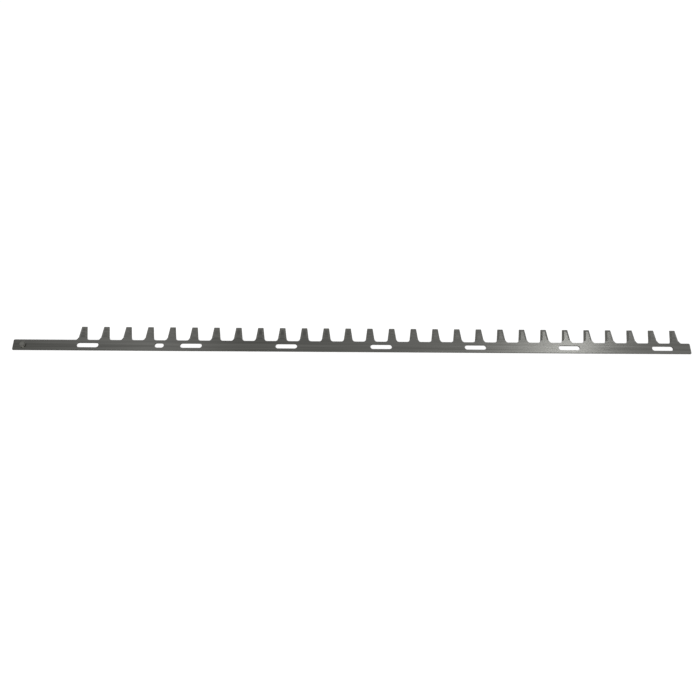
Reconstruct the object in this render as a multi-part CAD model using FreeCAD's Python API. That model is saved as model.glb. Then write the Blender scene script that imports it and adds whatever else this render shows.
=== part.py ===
import FreeCAD, Part
import math
import os

# Hedge trimmer blade: a flat toothed bar of ground steel with a drive pin riveted into one end.
# X runs from the drive end to the nose, Y from the back edge to the tooth tips, and Z up from
# the flat shear face that the blade lies on. The origin is under the middle of its outline.

# Sizes of the tooth row, in millimetres like all the others
tooth_count = 28
tooth_pitch = 35.0
tooth_height = 23.8
tooth_tip_width = 8.7
tooth_root_width = 15.0
tooth_tip_radius = 1.0
tooth_root_radius = 2.5

# Sizes of the bar that carries the teeth
bar_width = 17.5
thickness = 2.5
drive_tail = 107.0
nose_tail = 23.5
toothed_corner_radius = 2.0
back_corner_radius = 1.0

# Sizes of the ground bevels: how far each reaches over the tooth, and the edge left under it
flank_bevel = 3.2
tip_bevel = 4.0
edge_land = 0.4
run_out_radius = 2.5

# Sizes of the guide slots: the collars that run in them, their travel and where they stand
collar_diameter = 7.6
collar_clearance = 0.4
collar_travel = 26.2
locating_travel = 6.4
tail_slot_inset = 116.2
locating_web = 25.7
slot_row_inset = 278.5
slot_row_nose_inset = 45.0
slot_row_count = 6

# Sizes of the drive pin and of the riveted foot that holds it
pin_inset = 15.0
journal_diameter = 10.0
journal_height = 3.0
journal_chamfer = 0.8
shank_diameter = 8.0
shank_clearance = 0.05
rivet_flare = 0.9

# Places that follow from the sizes, along the blade from its drive end and across from its back
blade_length = drive_tail + (tooth_count - 1) * tooth_pitch + nose_tail
blade_width = bar_width + tooth_height
bar_middle = bar_width / 2
slot_width = collar_diameter + collar_clearance
tooth_places = [drive_tail + i * tooth_pitch for i in range(tooth_count)]
slot_row_step = (blade_length - slot_row_nose_inset - slot_row_inset) / (slot_row_count - 1)
slot_row_places = [slot_row_inset + i * slot_row_step for i in range(slot_row_count)]
locating_place = slot_row_inset - slot_width - (collar_travel + locating_travel) / 2 - locating_web
to_origin = FreeCAD.Vector(-blade_length / 2, -blade_width / 2, 0)
up = FreeCAD.Vector(0, 0, 1)


def rounded_wire(corners):
    """A closed wire through corners of (point, radius), each rounded by an arc of its radius."""
    arcs = []
    for i, (point, radius) in enumerate(corners):
        before = (corners[i - 1][0] - point).normalize()
        after = (corners[(i + 1) % len(corners)][0] - point).normalize()
        half_angle = before.getAngle(after) / 2
        inward = (before + after).normalize()
        reach = radius / math.tan(half_angle)
        middle = point + inward * (radius / math.sin(half_angle) - radius)
        arcs.append((point + before * reach, middle, point + after * reach))
    edges = []
    for i, (start, middle, end) in enumerate(arcs):
        edges.append(Part.makeLine(arcs[i - 1][2], start))
        edges.append(Part.Arc(start, middle, end).toShape())
    return Part.Wire(edges)


def plate_outline():
    """The blade's outline: round its plain back edge and ends, then back along the teeth."""
    corners = [
        (FreeCAD.Vector(0, 0, 0), back_corner_radius),
        (FreeCAD.Vector(blade_length, 0, 0), back_corner_radius),
        (FreeCAD.Vector(blade_length, bar_width, 0), toothed_corner_radius),
    ]
    for place in reversed(tooth_places):
        for half, y, radius in (
            (tooth_root_width / 2, bar_width, tooth_root_radius),
            (tooth_tip_width / 2, blade_width, tooth_tip_radius),
            (-tooth_tip_width / 2, blade_width, tooth_tip_radius),
            (-tooth_root_width / 2, bar_width, tooth_root_radius),
        ):
            corners.append((FreeCAD.Vector(place + half, y, 0), radius))
    corners.append((FreeCAD.Vector(0, bar_width, 0), toothed_corner_radius))
    return rounded_wire(corners)


def ground_slab(edge_start, edge_end, inward, reach):
    """What a grinding wheel takes off along one edge of a tooth. The wheel lifts out of the face
    in a round at the edge's start, and runs off past the edge's end."""
    along = (edge_end - edge_start).normalize()
    slope = inward * reach + up * (thickness - edge_land)
    slant = slope.Length
    depth = reach * (thickness - edge_land) / slant
    climb = slope.normalize()
    out_of_face = along.cross(climb)
    if out_of_face.z < 0:
        out_of_face = -out_of_face
    run_out = math.sqrt(depth * (2 * run_out_radius - depth))
    start = edge_start + up * edge_land - climb * slant
    settles = start + along * run_out
    leaves = edge_end - edge_start + start + along * slant
    hub = settles + out_of_face * run_out_radius
    lifts = hub - along * run_out_radius
    halfway = hub - (along + out_of_face).normalize() * run_out_radius
    clear = out_of_face * (run_out_radius + depth)
    edges = [
        Part.Arc(lifts, halfway, settles).toShape(),
        Part.makeLine(settles, leaves),
        Part.makeLine(leaves, leaves + clear),
        Part.makeLine(leaves + clear, lifts + out_of_face * depth),
        Part.makeLine(lifts + out_of_face * depth, lifts),
    ]
    return Part.Face(Part.Wire(edges)).extrude(climb * slant * 3)


def tooth_grinding():
    """The slabs ground off a tooth at the drive end: both flanks down to the root, and the tip."""
    slabs = []
    for side in (-1, 1):
        root = FreeCAD.Vector(side * tooth_root_width / 2, bar_width, 0)
        tip = FreeCAD.Vector(side * tooth_tip_width / 2, blade_width, 0)
        flank = (tip - root).normalize()
        inward = FreeCAD.Vector(-flank.y, flank.x, 0) * side
        root_angle = flank.getAngle(FreeCAD.Vector(side, 0, 0))
        start = root + flank * (tooth_root_radius / math.tan(root_angle / 2))
        slabs.append(ground_slab(start, tip, inward, flank_bevel))
    tip_start = FreeCAD.Vector(-tooth_tip_width / 2 - run_out_radius, blade_width, 0)
    tip_end = FreeCAD.Vector(tooth_tip_width / 2, blade_width, 0)
    slabs.append(ground_slab(tip_start, tip_end, FreeCAD.Vector(0, -1, 0), tip_bevel))
    return slabs


def guide_slot(place, travel):
    """A slot through the bar for a collar that runs this far along the blade."""
    radius = slot_width / 2
    start = FreeCAD.Vector(place - travel / 2, bar_middle, 0)
    end = FreeCAD.Vector(place + travel / 2, bar_middle, 0)
    across = FreeCAD.Vector(0, radius, 0)
    outward = FreeCAD.Vector(radius, 0, 0)
    edges = [
        Part.makeLine(start - across, end - across),
        Part.Arc(end - across, end + outward, end + across).toShape(),
        Part.makeLine(end + across, start + across),
        Part.Arc(start + across, start - outward, start - across).toShape(),
    ]
    return Part.Face(Part.Wire(edges)).extrude(up * thickness)


def turned(profile):
    """A solid turned about the pin's axis from a profile of (radius, height) corners."""
    centre = FreeCAD.Vector(pin_inset, bar_middle, 0)
    corners = [centre + FreeCAD.Vector(radius, 0, height) for radius, height in profile]
    face = Part.Face(Part.makePolygon(corners + corners[:1]))
    return face.revolve(centre, up, 360)


def make_blade():
    """The stamped plate with its slots and rivet hole, ground to an edge on each tooth."""
    plate = Part.Face(plate_outline()).extrude(up * thickness)
    hole_radius = shank_diameter / 2 + shank_clearance
    rivet_hole = [(0, 0), (hole_radius + rivet_flare, 0), (hole_radius, rivet_flare)]
    rivet_hole += [(hole_radius, thickness), (0, thickness)]
    cuts = [turned(rivet_hole)]
    cuts.append(guide_slot(tail_slot_inset, collar_travel))
    cuts.append(guide_slot(locating_place, locating_travel))
    for place in slot_row_places:
        cuts.append(guide_slot(place, collar_travel))
    for place in tooth_places:
        for slab in tooth_grinding():
            slab.translate(FreeCAD.Vector(place, 0, 0))
            cuts.append(slab)
    return plate.cut(cuts)


def make_drive_pin():
    """The pin: a chamfered journal that seats on the blade, a shank and a riveted foot."""
    shank = shank_diameter / 2
    journal = journal_diameter / 2
    top = thickness + journal_height
    foot = [(0, 0), (shank + rivet_flare, 0), (shank, rivet_flare), (shank, thickness)]
    head = [(journal, thickness), (journal, top - journal_chamfer)]
    head += [(journal - journal_chamfer, top), (0, top)]
    return turned(foot + head)


os.makedirs("parts", exist_ok=True)
for node, shape in (("blade", make_blade()), ("drive_pin", make_drive_pin())):
    shape.translate(to_origin)
    shape.exportStep("parts/" + node + ".step")
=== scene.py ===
import math

import bmesh
import bpy
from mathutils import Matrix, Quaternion, Vector


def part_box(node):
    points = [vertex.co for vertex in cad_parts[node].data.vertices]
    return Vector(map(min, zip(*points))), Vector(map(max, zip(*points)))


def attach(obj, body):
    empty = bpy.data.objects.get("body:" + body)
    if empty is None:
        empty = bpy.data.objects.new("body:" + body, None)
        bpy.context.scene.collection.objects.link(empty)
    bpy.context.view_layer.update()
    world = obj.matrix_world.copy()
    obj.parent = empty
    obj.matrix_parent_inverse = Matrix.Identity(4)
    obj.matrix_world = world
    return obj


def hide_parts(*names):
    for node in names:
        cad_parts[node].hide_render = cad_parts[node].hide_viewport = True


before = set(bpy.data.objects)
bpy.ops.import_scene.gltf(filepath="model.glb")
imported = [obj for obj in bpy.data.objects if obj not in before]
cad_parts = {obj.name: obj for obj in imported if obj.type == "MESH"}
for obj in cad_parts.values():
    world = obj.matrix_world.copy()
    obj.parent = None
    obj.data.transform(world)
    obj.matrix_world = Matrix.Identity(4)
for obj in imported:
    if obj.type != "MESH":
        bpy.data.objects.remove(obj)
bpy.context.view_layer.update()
bpy.context.scene.view_settings.view_transform = "Standard"


# The blade: a flat bar of hardened carbon steel with a row of teeth along one side. It is stamped
# from sheet, slotted for the collars that it slides on, surface-ground on both faces and then
# ground to an edge on both flanks and the tip of every tooth.

# The root round is 4 mm by the last measuring, which came after the last pack: the solid has 2.5 mm
mm = 0.001
blade_sizes = {
    "Tooth Count": 28,
    "Tooth Pitch": 35.0 * mm,
    "Tooth Height": 23.8 * mm,
    "Tip Width": 8.7 * mm,
    "Root Width": 15.0 * mm,
    "Tip Round": 1.0 * mm,
    "Root Round": 4.0 * mm,
    "Blade Length": 1075.5 * mm,
    "Bar Width": 17.5 * mm,
    "Thickness": 2.5 * mm,
    "Drive Tail": 107.0 * mm,
    "Toothed Corner Round": 2.0 * mm,
    "Back Corner Round": 1.0 * mm,
    "Slot Width": 8.0 * mm,
    "Slot Length": 34.2 * mm,
    "Short Slot Length": 14.4 * mm,
    "Tail Slot Place": 116.2 * mm,
    "Short Slot Place": 228.5 * mm,
    "First Slot Place": 278.5 * mm,
    "Slot Step": 150.4 * mm,
    "Slot Count": 6,
    "Rivet Place": 15.0 * mm,
    "Rivet Hole Radius": 4.05 * mm,
    "Rivet Flare": 0.9 * mm,
}

# How far the bevels reach over a tooth, the edge left under them, the wheel's radius where it runs
# out of the face, and the break along the rims that aren't ground
flank_bevel = 3.2 * mm
tip_bevel = 4.0 * mm
edge_land = 0.4 * mm
run_out_radius = 2.5 * mm
edge_break = 0.12 * mm

# How many facets draw each round, and up to which angle neighbours are shaded as one surface
corner_facets = 10
slot_end_facets = 12
run_out_facets = 12
hole_facets = 64
smooth_angle = math.radians(22)


def linear(hex_colour):
    """An sRGB hex colour as linear red, green and blue, with an alpha of 1."""
    parts = [int(hex_colour[i:i + 2], 16) / 255 for i in (1, 3, 5)]
    return tuple(c / 12.92 if c <= 0.04045 else ((c + 0.055) / 1.055) ** 2.4 for c in parts) + (1.0,)


def add(tree, kind, feeds=None, **settings):
    """Adds a node with its settings. Each input, by its name or by its number where names repeat,
    takes a value, an output, a node for its first output, or a list of these."""
    node = tree.nodes.new(kind)
    for name, value in settings.items():
        setattr(node, name, value)
    for name, value in (feeds or {}).items():
        for source in value if isinstance(value, list) else [value]:
            if isinstance(source, bpy.types.Node):
                source = source.outputs[0]
            if isinstance(source, bpy.types.NodeSocket):
                tree.links.new(source, node.inputs[name])
            else:
                node.inputs[name].default_value = source
    return node


def new_finish(name):
    """A material with an empty node tree."""
    finish = bpy.data.materials.new(name)
    finish.use_nodes = True
    finish.node_tree.nodes.clear()
    return finish


# Surface-ground carbon steel: satin dark grey. The wheel leaves lines along the blade, 0.1 mm wide
# and drawn 0.9 mm wide so that they show, and bands 4 mm wide where its passes overlap. It is
# lighter and darker in patches some 200 mm long, darkest at the drive end. The two places move
# the noise so that its bands and patches fall as they do on this blade.
face_steel = new_finish("surface_ground_carbon_steel")
tree = face_steel.node_tree
line_size = (90 * mm, 0.9 * mm, 0.9 * mm)
band_size = (300 * mm, 4 * mm, 4 * mm)
band_place = (0.0, 0.0, 3.3)
patch_size = 220 * mm
patch_place = (1.9, -0.13, -1.18)
place = add(tree, "ShaderNodeTexCoord").outputs["Object"]
lines = add(tree, "ShaderNodeMapping", {"Vector": place, "Scale": tuple(1 / s for s in line_size)})
lines = add(tree, "ShaderNodeTexNoise", {"Vector": lines, "Scale": 1.0, "Detail": 3.0})
bands = add(tree, "ShaderNodeMapping", {
    "Vector": place, "Location": band_place, "Scale": tuple(1 / s for s in band_size)})
bands = add(tree, "ShaderNodeTexNoise", {"Vector": bands, "Scale": 1.0, "Detail": 1.0})
patches = add(tree, "ShaderNodeMapping", {"Vector": place, "Location": patch_place})
patches = add(tree, "ShaderNodeTexNoise", {"Vector": patches, "Scale": 1 / patch_size, "Detail": 1.0})
ground_tone = add(tree, "ShaderNodeMix", {"Factor": 0.6, "A": lines, "B": bands})
tone = add(tree, "ShaderNodeMix", {"Factor": 0.5, "A": ground_tone, "B": patches})
colour = add(tree, "ShaderNodeValToRGB", {"Fac": tone})
colour.color_ramp.elements[0].position = 0.3
colour.color_ramp.elements[0].color = linear("#3c3c39")
colour.color_ramp.elements[1].position = 0.7
colour.color_ramp.elements[1].color = linear("#6d6d6a")
gloss = add(tree, "ShaderNodeMapRange", {
    "Value": ground_tone, "From Min": 0.3, "From Max": 0.7, "To Min": 0.2, "To Max": 0.26})
relief = add(tree, "ShaderNodeBump", {"Height": lines, "Strength": 0.08, "Distance": 0.05 * mm})
shader = add(tree, "ShaderNodeBsdfPrincipled", {
    "Base Color": colour, "Metallic": 1.0, "Roughness": gloss, "Normal": relief})
add(tree, "ShaderNodeOutputMaterial", {"Surface": shader})

# Bevel-ground carbon steel: fresher than the faces, with the marks of a coarser wheel across the
# edge. The real marks are 0.2 mm wide and are drawn 0.7 mm wide.
bevel_steel = new_finish("bevel_ground_carbon_steel")
tree = bevel_steel.node_tree
mark_size = (14 * mm, 0.7 * mm, 14 * mm)
place = add(tree, "ShaderNodeTexCoord").outputs["Object"]
marks = add(tree, "ShaderNodeMapping", {"Vector": place, "Scale": tuple(1 / s for s in mark_size)})
marks = add(tree, "ShaderNodeTexNoise", {"Vector": marks, "Scale": 1.0, "Detail": 2.0})
colour = add(tree, "ShaderNodeValToRGB", {"Fac": marks})
colour.color_ramp.elements[0].position = 0.35
colour.color_ramp.elements[0].color = linear("#53534f")
colour.color_ramp.elements[1].position = 0.65
colour.color_ramp.elements[1].color = linear("#676763")
gloss = add(tree, "ShaderNodeMapRange", {
    "Value": marks, "From Min": 0.3, "From Max": 0.7, "To Min": 0.24, "To Max": 0.34})
relief = add(tree, "ShaderNodeBump", {"Height": marks, "Strength": 0.15, "Distance": 0.05 * mm})
shader = add(tree, "ShaderNodeBsdfPrincipled", {
    "Base Color": colour, "Metallic": 1.0, "Roughness": gloss, "Normal": relief})
add(tree, "ShaderNodeOutputMaterial", {"Surface": shader})

# Sheared carbon steel: the stamped walls are burnished where the punch went in and torn below, so
# they are dull and dark with fine upright scores, about 0.5 mm apart.
wall_steel = new_finish("sheared_carbon_steel")
tree = wall_steel.node_tree
score_size = (0.5 * mm, 0.5 * mm, 4 * mm)
burnish_foot = 1.9 * mm
tear_top = 1.4 * mm
place = add(tree, "ShaderNodeTexCoord").outputs["Object"]
scores = add(tree, "ShaderNodeMapping", {"Vector": place, "Scale": tuple(1 / s for s in score_size)})
scores = add(tree, "ShaderNodeTexNoise", {"Vector": scores, "Scale": 1.0, "Detail": 2.0})
height = add(tree, "ShaderNodeSeparateXYZ", {"Vector": place}).outputs["Z"]
torn = add(tree, "ShaderNodeMapRange", {
    "Value": height, "From Min": burnish_foot, "From Max": tear_top})
colour = add(tree, "ShaderNodeMix", {
    "Factor": torn, 6: linear("#565652"), 7: linear("#454440")}, data_type="RGBA").outputs[2]
gloss = add(tree, "ShaderNodeMapRange", {"Value": torn, "To Min": 0.32, "To Max": 0.5})
relief = add(tree, "ShaderNodeBump", {"Height": scores, "Strength": 0.35, "Distance": 0.1 * mm})
shader = add(tree, "ShaderNodeBsdfPrincipled", {
    "Base Color": colour, "Metallic": 1.0, "Roughness": gloss, "Normal": relief,
    "Specular Tint": linear("#bcbcbc")})
add(tree, "ShaderNodeOutputMaterial", {"Surface": shader})


def grind(mesh, edge_start, edge_end, inward, reach):
    """Adds what a wheel takes off along one tooth edge: it lifts out in a round at the start."""
    drop = blade_sizes["Thickness"] - edge_land
    along = (edge_end - edge_start).normalized()
    slope = inward * reach + Vector((0, 0, drop))
    slant = slope.length
    depth = reach * drop / slant
    climb = slope.normalized()
    out_of_face = along.cross(climb)
    if out_of_face.z < 0:
        out_of_face = -out_of_face
    run_out = math.sqrt(depth * (2 * run_out_radius - depth))
    start = edge_start + Vector((0, 0, edge_land)) - climb * slant
    leaves = start + edge_end - edge_start + along * slant
    hub = start + along * run_out + out_of_face * run_out_radius
    profile = []
    for i in range(run_out_facets + 1):
        angle = math.pi / 2 * i / run_out_facets
        spoke = along * math.cos(angle) + out_of_face * math.sin(angle)
        profile.append(hub - spoke * run_out_radius)
    profile.append(leaves)
    profile.append(leaves + out_of_face * (run_out_radius + depth))
    profile.append(profile[0] + out_of_face * depth)
    well_past = climb * slant * 3
    near = [mesh.verts.new(point) for point in profile]
    far = [mesh.verts.new(point + well_past) for point in profile]
    mesh.faces.new(near)
    mesh.faces.new(far[::-1])
    for i in range(len(near)):
        j = (i + 1) % len(near)
        mesh.faces.new((near[j], near[i], far[i], far[j]))


# What the wheel takes off one tooth, seen from the middle of its foot
grinding = bmesh.new()
tooth_top = blade_sizes["Tooth Height"]
half_tip = blade_sizes["Tip Width"] / 2
half_root = blade_sizes["Root Width"] / 2
for side in (-1, 1):
    root = Vector((side * half_root, 0, 0))
    tip = Vector((side * half_tip, tooth_top, 0))
    flank = (tip - root).normalized()
    root_angle = flank.angle(Vector((side, 0, 0)))
    flank_start = root + flank * (blade_sizes["Root Round"] / math.tan(root_angle / 2))
    grind(grinding, flank_start, tip, Vector((-flank.y, flank.x, 0)) * side, flank_bevel)
tip_start = Vector((-half_tip - run_out_radius, tooth_top, 0))
grind(grinding, tip_start, Vector((half_tip, tooth_top, 0)), Vector((0, -1, 0)), tip_bevel)
bmesh.ops.recalc_face_normals(grinding, faces=grinding.faces)
grinding_mesh = bpy.data.meshes.new("tooth_grinding")
grinding.to_mesh(grinding_mesh)
grinding.free()
grinding_mesh.materials.append(bevel_steel)

# The tree that makes the blade. Lengths run from the drive end and widths from the back edge.
shaping = bpy.data.node_groups.new("toothed_blade", "GeometryNodeTree")
shaping.interface.new_socket("Tooth Grinding", in_out="INPUT", socket_type="NodeSocketGeometry")
size_sockets = {}
for name, value in blade_sizes.items():
    kind = "NodeSocketInt" if isinstance(value, int) else "NodeSocketFloat"
    size_sockets[name] = shaping.interface.new_socket(name, in_out="INPUT", socket_type=kind).identifier
shaping.interface.new_socket("Blade", in_out="OUTPUT", socket_type="NodeSocketGeometry")
given = add(shaping, "NodeGroupInput").outputs

# Of a tooth's four corners, 1 and 2 are at its tip, and of the bar's four, at its back
index = add(shaping, "GeometryNodeInputIndex")
tip_or_back = add(shaping, "ShaderNodeMath", {0: index, 1: 1.5, 2: 0.6}, operation="COMPARE")
bar_middle = add(shaping, "ShaderNodeMath", {0: given["Bar Width"], 1: 0.5}, operation="MULTIPLY")

# Four corners for each tooth, from the drive end to the nose
right_root = add(shaping, "ShaderNodeMath", {0: given["Root Width"], 1: 0.5}, operation="MULTIPLY")
left_root = add(shaping, "ShaderNodeMath", {0: given["Root Width"], 1: -0.5}, operation="MULTIPLY")
right_tip = add(shaping, "ShaderNodeMath", {0: given["Tip Width"], 1: 0.5}, operation="MULTIPLY")
left_tip = add(shaping, "ShaderNodeMath", {0: given["Tip Width"], 1: -0.5}, operation="MULTIPLY")
teeth = add(shaping, "GeometryNodeCurvePrimitiveQuadrilateral", {
    "Point 1": add(shaping, "ShaderNodeCombineXYZ", {"X": left_root}),
    "Point 2": add(shaping, "ShaderNodeCombineXYZ", {"X": left_tip, "Y": given["Tooth Height"]}),
    "Point 3": add(shaping, "ShaderNodeCombineXYZ", {"X": right_tip, "Y": given["Tooth Height"]}),
    "Point 4": add(shaping, "ShaderNodeCombineXYZ", {"X": right_root})}, mode="POINTS")
corner_round = add(shaping, "GeometryNodeSwitch", {
    "Switch": tip_or_back, "False": given["Root Round"], "True": given["Tip Round"]},
    input_type="FLOAT")
teeth = add(shaping, "GeometryNodeStoreNamedAttribute", {
    "Geometry": teeth, "Name": "round", "Value": corner_round}, data_type="FLOAT")
first_foot = add(shaping, "ShaderNodeCombineXYZ", {"X": given["Drive Tail"], "Y": given["Bar Width"]})
tooth_feet = add(shaping, "GeometryNodeMeshLine", {
    "Count": given["Tooth Count"], "Start Location": first_foot,
    "Offset": add(shaping, "ShaderNodeCombineXYZ", {"X": given["Tooth Pitch"]})}, mode="OFFSET")
teeth = add(shaping, "GeometryNodeInstanceOnPoints", {"Points": tooth_feet, "Instance": teeth})
teeth = add(shaping, "GeometryNodeRealizeInstances", {"Geometry": teeth})
teeth = add(shaping, "GeometryNodeCurveToPoints", {"Curve": teeth}, mode="EVALUATED")
teeth = add(shaping, "GeometryNodeStoreNamedAttribute", {
    "Geometry": teeth, "Name": "turn", "Value": index}, data_type="FLOAT")

# The four corners of the bar, which follow the teeth round from the nose to the drive end. Their
# numbers in the outline are higher than any tooth's.
bar_turn = 1.0e6
bar = add(shaping, "GeometryNodeCurvePrimitiveQuadrilateral", {
    "Point 1": add(shaping, "ShaderNodeCombineXYZ", {"X": given["Blade Length"], "Y": given["Bar Width"]}),
    "Point 2": add(shaping, "ShaderNodeCombineXYZ", {"X": given["Blade Length"]}),
    "Point 3": (0.0, 0.0, 0.0),
    "Point 4": add(shaping, "ShaderNodeCombineXYZ", {"Y": given["Bar Width"]})}, mode="POINTS")
bar = add(shaping, "GeometryNodeCurveToPoints", {"Curve": bar}, mode="EVALUATED")
corner_round = add(shaping, "GeometryNodeSwitch", {
    "Switch": tip_or_back, "False": given["Toothed Corner Round"], "True": given["Back Corner Round"]},
    input_type="FLOAT")
bar = add(shaping, "GeometryNodeStoreNamedAttribute", {
    "Geometry": bar, "Name": "round", "Value": corner_round}, data_type="FLOAT")
after_teeth = add(shaping, "ShaderNodeMath", {0: index, 1: bar_turn}, operation="ADD")
bar = add(shaping, "GeometryNodeStoreNamedAttribute", {
    "Geometry": bar, "Name": "turn", "Value": after_teeth}, data_type="FLOAT")

# One outline through all the corners, each rounded by its own radius
turn = add(shaping, "GeometryNodeInputNamedAttribute", {"Name": "turn"}, data_type="FLOAT")
corner_round = add(shaping, "GeometryNodeInputNamedAttribute", {"Name": "round"}, data_type="FLOAT")
outline = add(shaping, "GeometryNodeJoinGeometry", {"Geometry": [teeth, bar]})
outline = add(shaping, "GeometryNodePointsToCurves", {"Points": outline, "Weight": turn})
outline = add(shaping, "GeometryNodeSetSplineCyclic", {"Geometry": outline, "Cyclic": True})
outline = add(shaping, "GeometryNodeFilletCurve", {
    "Curve": outline, "Radius": corner_round, "Count": corner_facets}, mode="POLY")

# The slots: one next to the gearbox, a short one and an even row. The round at a slot's end is a hair
# under half its width, so that two of them don't meet in one point.
end_share = 0.4999
tail_slot = add(shaping, "ShaderNodeCombineXYZ", {"X": given["Tail Slot Place"], "Y": bar_middle})
tail_slot = add(shaping, "GeometryNodeMeshLine", {"Count": 1, "Start Location": tail_slot})
short_slot = add(shaping, "ShaderNodeCombineXYZ", {"X": given["Short Slot Place"], "Y": bar_middle})
short_slot = add(shaping, "GeometryNodeMeshLine", {"Count": 1, "Start Location": short_slot})
slot_row = add(shaping, "ShaderNodeCombineXYZ", {"X": given["First Slot Place"], "Y": bar_middle})
slot_row = add(shaping, "GeometryNodeMeshLine", {
    "Count": given["Slot Count"], "Start Location": slot_row,
    "Offset": add(shaping, "ShaderNodeCombineXYZ", {"X": given["Slot Step"]})}, mode="OFFSET")
slot_end = add(shaping, "ShaderNodeMath", {0: given["Slot Width"], 1: end_share}, operation="MULTIPLY")
outlines = [outline]
for places, length in (([tail_slot, slot_row], "Slot Length"), ([short_slot], "Short Slot Length")):
    slot = add(shaping, "GeometryNodeCurvePrimitiveQuadrilateral", {
        "Width": given[length], "Height": given["Slot Width"]}, mode="RECTANGLE")
    slot = add(shaping, "GeometryNodeFilletCurve", {
        "Curve": slot, "Radius": slot_end, "Count": slot_end_facets}, mode="POLY")
    places = add(shaping, "GeometryNodeJoinGeometry", {"Geometry": places})
    slots = add(shaping, "GeometryNodeInstanceOnPoints", {"Points": places, "Instance": slot})
    outlines.append(add(shaping, "GeometryNodeRealizeInstances", {"Geometry": slots}))

# The stamped plate: its face filled round the slots and drawn up to the sheet's thickness
weld_gap = 0.001 * mm
face = add(shaping, "GeometryNodeJoinGeometry", {"Geometry": outlines})
face = add(shaping, "GeometryNodeFillCurve", {"Curve": face}, mode="NGONS")
risen = add(shaping, "GeometryNodeExtrudeMesh", {
    "Mesh": face, "Offset": (0.0, 0.0, 1.0), "Offset Scale": given["Thickness"], "Individual": False},
    mode="FACES")
under = add(shaping, "GeometryNodeFlipFaces", {"Mesh": face})
plate = add(shaping, "GeometryNodeJoinGeometry", {"Geometry": [risen, under]})
plate = add(shaping, "GeometryNodeMergeByDistance", {"Geometry": plate, "Distance": weld_gap})
plate = add(shaping, "GeometryNodeSetMaterial", {"Geometry": plate, "Material": wall_steel})

# The rivet hole, flared underneath. The cylinder and the cone reach past the plate and each other, so
# that they cut cleanly.
rivet_place = add(shaping, "ShaderNodeCombineXYZ", {"X": given["Rivet Place"], "Y": bar_middle})
hole_depth = add(shaping, "ShaderNodeMath", {0: given["Thickness"], 1: 4.0}, operation="MULTIPLY")
hole = add(shaping, "GeometryNodeMeshCylinder", {
    "Vertices": hole_facets, "Radius": given["Rivet Hole Radius"], "Depth": hole_depth})
flare_top = add(shaping, "ShaderNodeMath", {
    0: given["Rivet Hole Radius"], 1: given["Rivet Flare"]}, operation="SUBTRACT")
flare_foot = add(shaping, "ShaderNodeMath", {
    0: given["Rivet Flare"], 1: 2.0, 2: given["Rivet Hole Radius"]}, operation="MULTIPLY_ADD")
flare_depth = add(shaping, "ShaderNodeMath", {0: given["Rivet Flare"], 1: 3.0}, operation="MULTIPLY")
flare_drop = add(shaping, "ShaderNodeMath", {0: given["Rivet Flare"], 1: -1.0}, operation="MULTIPLY")
flare = add(shaping, "GeometryNodeMeshCone", {
    "Vertices": hole_facets, "Radius Top": flare_top, "Radius Bottom": flare_foot, "Depth": flare_depth})
flare = add(shaping, "GeometryNodeTransform", {
    "Geometry": flare, "Translation": add(shaping, "ShaderNodeCombineXYZ", {"Z": flare_drop})})
hole = add(shaping, "GeometryNodeJoinGeometry", {"Geometry": [hole, flare]})
hole = add(shaping, "GeometryNodeTransform", {"Geometry": hole, "Translation": rivet_place})
hole = add(shaping, "GeometryNodeSetMaterial", {"Geometry": hole, "Material": wall_steel})

# The grinding of every tooth and the hole are cut, and the blade moves to its place in the frame.
# A face is flat or upright by how far its normal points up or down.
flat_tilt = 0.99
upright_tilt = 0.2
grindings = add(shaping, "GeometryNodeInstanceOnPoints", {
    "Points": tooth_feet, "Instance": given["Tooth Grinding"]})
whole = add(shaping, "GeometryNodeMeshBoolean", {
    "Mesh 1": plate, "Mesh 2": [grindings, hole], "Self Intersection": True},
    operation="DIFFERENCE", solver="EXACT")
blade_width = add(shaping, "ShaderNodeMath", {
    0: given["Bar Width"], 1: given["Tooth Height"]}, operation="ADD")
to_middle = add(shaping, "ShaderNodeCombineXYZ", {"X": given["Blade Length"], "Y": blade_width})
to_middle = add(shaping, "ShaderNodeVectorMath", {0: to_middle, "Scale": -0.5}, operation="SCALE")
whole = add(shaping, "GeometryNodeTransform", {"Geometry": whole, "Translation": to_middle})
whole = add(shaping, "GeometryNodeRealizeInstances", {"Geometry": whole})
normal = add(shaping, "GeometryNodeInputNormal")
tilt = add(shaping, "ShaderNodeSeparateXYZ", {"Vector": normal}).outputs["Z"]
tilt = add(shaping, "ShaderNodeMath", {0: tilt}, operation="ABSOLUTE")
flat = add(shaping, "ShaderNodeMath", {0: tilt, 1: flat_tilt}, operation="GREATER_THAN")
whole = add(shaping, "GeometryNodeSetMaterial", {
    "Geometry": whole, "Selection": flat, "Material": face_steel})
add(shaping, "NodeGroupOutput", {"Blade": whole})

# The tree takes the object's own mesh, the grinding of one tooth, and gives the whole blade
blade = bpy.data.objects.new("ground_blade", grinding_mesh)
bpy.context.collection.objects.link(blade)
shaper = blade.modifiers.new("toothed_blade", "NODES")
shaper.node_group = shaping
for name, identifier in size_sockets.items():
    shaper[identifier] = blade_sizes[name]
shaped = blade.evaluated_get(bpy.context.evaluated_depsgraph_get())
blade_mesh = bpy.data.meshes.new_from_object(shaped)
blade.modifiers.remove(shaper)
blade.data = blade_mesh

# The filled outline brings an empty material slot, which no face uses any more
blade_mesh.materials.pop(index=0)

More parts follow.
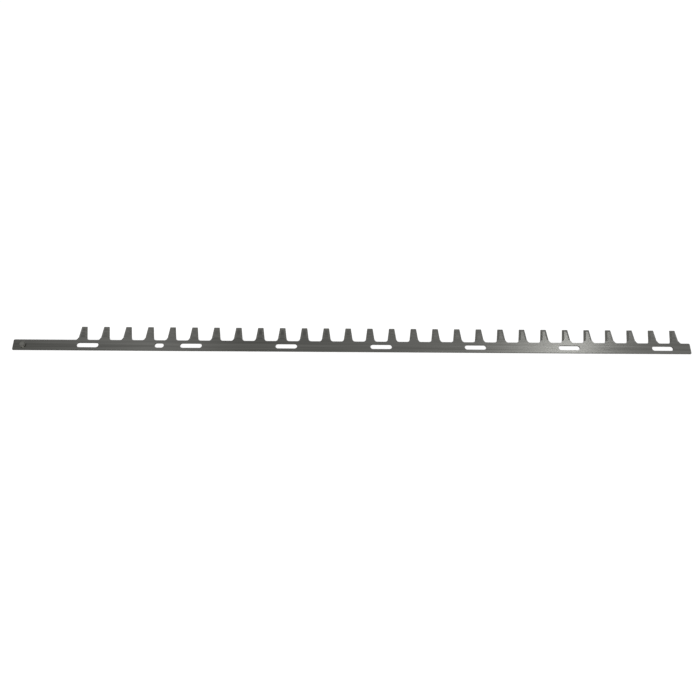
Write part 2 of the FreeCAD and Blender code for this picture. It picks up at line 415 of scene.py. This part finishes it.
# Rims that the wheel didn't grind are broken with a stone, so that they don't cut the hand. What the
# cutting split is joined first, where its points meet or its faces lie in one plane.
point_gap = 0.0005 * mm
one_plane = math.radians(0.3)
steel = bmesh.new()
steel.from_mesh(blade_mesh)
bmesh.ops.remove_doubles(steel, verts=steel.verts, dist=point_gap)
bmesh.ops.dissolve_limit(steel, angle_limit=one_plane, verts=steel.verts, edges=steel.edges)
rims = []
for edge in steel.edges:
    tilts = sorted(abs(f.normal.z) for f in edge.link_faces)
    if len(tilts) == 2 and tilts[0] < upright_tilt and tilts[1] > flat_tilt:
        rims.append(edge)
bmesh.ops.bevel(steel, geom=rims, offset=edge_break, segments=1, profile=0.5, affect="EDGES",
                material=blade_mesh.materials.find(wall_steel.name))
steel.to_mesh(blade_mesh)
steel.free()
blade_mesh.shade_smooth()
blade_mesh.set_sharp_from_angle(angle=smooth_angle)
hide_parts("blade")
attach(blade, "root")


# The drive pin: a short steel pin that the connecting rod takes hold of. It is turned on a lathe,
# set through the blade's drive end and riveted over into the flared hole underneath.

# Its outline as radius and height in mm, from the riveted foot up to the centre mark in its end
pin_radius = 5.0
pin_profile = [
    (0.0, 0.0), (4.9, 0.0), (4.0, 0.9), (4.0, 2.5), (4.75, 2.5), (pin_radius, 2.7), (pin_radius, 4.7),
    (4.95, 4.8), (4.25, 5.45), (4.1, 5.5), (0.9, 5.5), (0.8, 5.45), (0.0, 4.85),
]
pin_sides = 72
pin_low, pin_high = (Vector(corner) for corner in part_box("drive_pin"))
pin_axis = (pin_low + pin_high) / 2

# Turned and hardened steel. The rim of the end and the chamfer are painted darker, a painted shade
# ring, and the side is painted lighter, a painted highlight. The lathe tool leaves rings 0.1 mm
# apart, drawn 0.4 mm apart: a wave texture repeats 20 times in 2 pi of its scaled length.
pin_steel = new_finish("turned_and_hardened_steel")
tree = pin_steel.node_tree
ring_gap = 0.4 * mm
# The steel of the end, the painted shade on its rim and chamfer, and the painted highlight on the side
end_tone, painted_shade_rim, painted_highlight_side = linear("#63635f"), linear("#4a4946"), linear("#a3a39d")
place = add(tree, "ShaderNodeTexCoord").outputs["Object"]
place = add(tree, "ShaderNodeMapping", {"Vector": place, "Location": (-pin_axis.x, -pin_axis.y, 0.0)})
rings = add(tree, "ShaderNodeTexWave", {
    "Vector": place, "Scale": 2 * math.pi / (20 * ring_gap), "Distortion": 0.6, "Detail": 1.0},
    wave_type="RINGS", rings_direction="SPHERICAL").outputs["Fac"]
across = add(tree, "ShaderNodeMapping", {"Vector": place, "Scale": (1.0, 1.0, 0.0)})
across = add(tree, "ShaderNodeVectorMath", {0: across}, operation="LENGTH").outputs["Value"]
zone = add(tree, "ShaderNodeMapRange", {"Value": across, "From Min": 0.0, "From Max": pin_radius * mm})
# Across the pin: plain steel in the middle of the end, painted shade over the rim and the chamfer, and a
# painted highlight on the side
colour = add(tree, "ShaderNodeValToRGB", {"Fac": zone})
colour.color_ramp.elements[0].color = end_tone
colour.color_ramp.elements[1].color = painted_highlight_side
for reach, tone in ((0.7, end_tone), (0.78, painted_shade_rim), (0.96, painted_shade_rim)):
    colour.color_ramp.elements.new(reach).color = tone
gloss = add(tree, "ShaderNodeMapRange", {"Value": rings, "To Min": 0.25, "To Max": 0.35})
relief = add(tree, "ShaderNodeBump", {"Height": rings, "Strength": 0.1, "Distance": 0.05 * mm})
shader = add(tree, "ShaderNodeBsdfPrincipled", {
    "Base Color": colour, "Metallic": 1.0, "Roughness": gloss, "Normal": relief})
add(tree, "ShaderNodeOutputMaterial", {"Surface": shader})

lathe = bmesh.new()
rows = []
for radius, height in pin_profile:
    ring = []
    for i in range(pin_sides if radius else 1):
        angle = 2 * math.pi * i / pin_sides
        spot = Vector((radius * math.cos(angle), radius * math.sin(angle), height)) * mm
        ring.append(lathe.verts.new(spot + Vector((pin_axis.x, pin_axis.y, 0.0))))
    rows.append(ring)
for low, high in zip(rows, rows[1:]):
    for i in range(pin_sides):
        j = (i + 1) % pin_sides
        corners = [low[i % len(low)], low[j % len(low)], high[j % len(high)], high[i % len(high)]]
        lathe.faces.new(list(dict.fromkeys(corners)))
bmesh.ops.recalc_face_normals(lathe, faces=lathe.faces)
pin_mesh = bpy.data.meshes.new("riveted_drive_pin")
lathe.to_mesh(pin_mesh)
lathe.free()
pin_mesh.shade_smooth()
pin_mesh.set_sharp_from_angle(angle=smooth_angle)
pin_mesh.materials.append(pin_steel)
pin = bpy.data.objects.new("riveted_drive_pin", pin_mesh)
bpy.context.collection.objects.link(pin)
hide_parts("drive_pin")
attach(pin, "root")


# The ground it lies on: a wide sheet of white paper, a hair under the blade. It shows white to the
# eye and to the steel, and still takes the blade's shadow.

paper_half = 1500 * mm
paper_drop = -0.1 * mm
paper_mesh = bpy.data.meshes.new("white_paper")
paper_mesh.from_pydata([
    (-paper_half, -paper_half, paper_drop), (paper_half, -paper_half, paper_drop),
    (paper_half, paper_half, paper_drop), (-paper_half, paper_half, paper_drop)], [], [(0, 1, 2, 3)])
paper = new_finish("matt_white_paper")
tree = paper.node_tree
ray = add(tree, "ShaderNodeLightPath").outputs
seen = add(tree, "ShaderNodeMath", {0: ray["Is Camera Ray"], 1: ray["Is Glossy Ray"]}, operation="MAXIMUM")
seen = add(tree, "ShaderNodeMath", {0: seen, 1: ray["Is Transmission Ray"]}, operation="MAXIMUM")
matt = add(tree, "ShaderNodeBsdfDiffuse", {"Color": linear("#e8e8e8")})
shade = add(tree, "ShaderNodeBsdfDiffuse", {"Color": linear("#aaaaaa")})
white = add(tree, "ShaderNodeEmission", {"Color": linear("#ffffff"), "Strength": 0.7})
lit = add(tree, "ShaderNodeAddShader", {0: shade, 1: white})
mixed = add(tree, "ShaderNodeMixShader", {0: seen, 1: matt, 2: lit})
add(tree, "ShaderNodeOutputMaterial", {"Surface": mixed})
paper_mesh.materials.append(paper)
ground_sheet = bpy.data.objects.new("white_paper", paper_mesh)
bpy.context.collection.objects.link(ground_sheet)


# The light: an even pale room, a large soft lamp in front on the drive side, and two soft boxes
# side by side behind the nose half, which the satin face shows as one long gleam.

world = bpy.data.worlds.new("pale_room")
bpy.context.scene.world = world
world.use_nodes = True
tree = world.node_tree
tree.nodes.clear()
ray = add(tree, "ShaderNodeLightPath").outputs
seen = add(tree, "ShaderNodeMath", {0: ray["Is Camera Ray"], 1: ray["Is Glossy Ray"]}, operation="MAXIMUM")
seen = add(tree, "ShaderNodeMath", {0: seen, 1: ray["Is Transmission Ray"]}, operation="MAXIMUM")
room = add(tree, "ShaderNodeBackground", {"Color": linear("#cbcbcb")})
beyond = add(tree, "ShaderNodeBackground", {"Color": linear("#ffffff")})
mixed = add(tree, "ShaderNodeMixShader", {0: seen, 1: room, 2: beyond})
add(tree, "ShaderNodeOutputWorld", {"Surface": mixed})

# Each lamp's name, its place, aim and size in metres, and its power in watts
lamps = (
    ("front_lamp", (-0.6, -1.2, 1.6), (0.0, 0.0, 0.0), (1.2, 1.2), 23.0),
    ("gleam_box", (0.742, 0.45, 1.29), (0.355, 0.0, 0.0), (0.08, 0.35), 0.78),
    ("side_box", (0.62, 0.45, 1.29), (0.29, 0.0, 0.0), (0.24, 0.35), 0.42),
)
for name, spot, aim, size, power in lamps:
    lamp = bpy.data.lights.new(name, "AREA")
    lamp.shape = "RECTANGLE"
    lamp.size, lamp.size_y = size
    lamp.energy = power
    holder = bpy.data.objects.new(name, lamp)
    holder.location = spot
    holder.rotation_euler = (Vector(aim) - Vector(spot)).to_track_quat("-Z", "Y").to_euler()
    bpy.context.collection.objects.link(holder)


# The camera: over the back edge, as the blade was photographed, turned a little so that the nose
# hangs lower in the picture.

camera_spot = Vector((-30.9, -475.3, 1037.4)) * mm
camera_aim = Vector((-7.9, -16.9, 0.0)) * mm
camera_roll = math.radians(2.984)
sensor_width = 36.0
picture_pixels = 700
focal_pixels = 715
camera = bpy.data.objects.new("camera", bpy.data.cameras.new("camera"))
camera.data.sensor_width = sensor_width
camera.data.lens = sensor_width * focal_pixels / picture_pixels
camera.data.clip_start = 0.01
camera.location = camera_spot
facing = (camera_aim - camera_spot).to_track_quat("-Z", "Y")
camera.rotation_euler = (facing @ Quaternion((0, 0, 1), camera_roll)).to_euler()
bpy.context.collection.objects.link(camera)
bpy.context.scene.camera = camera
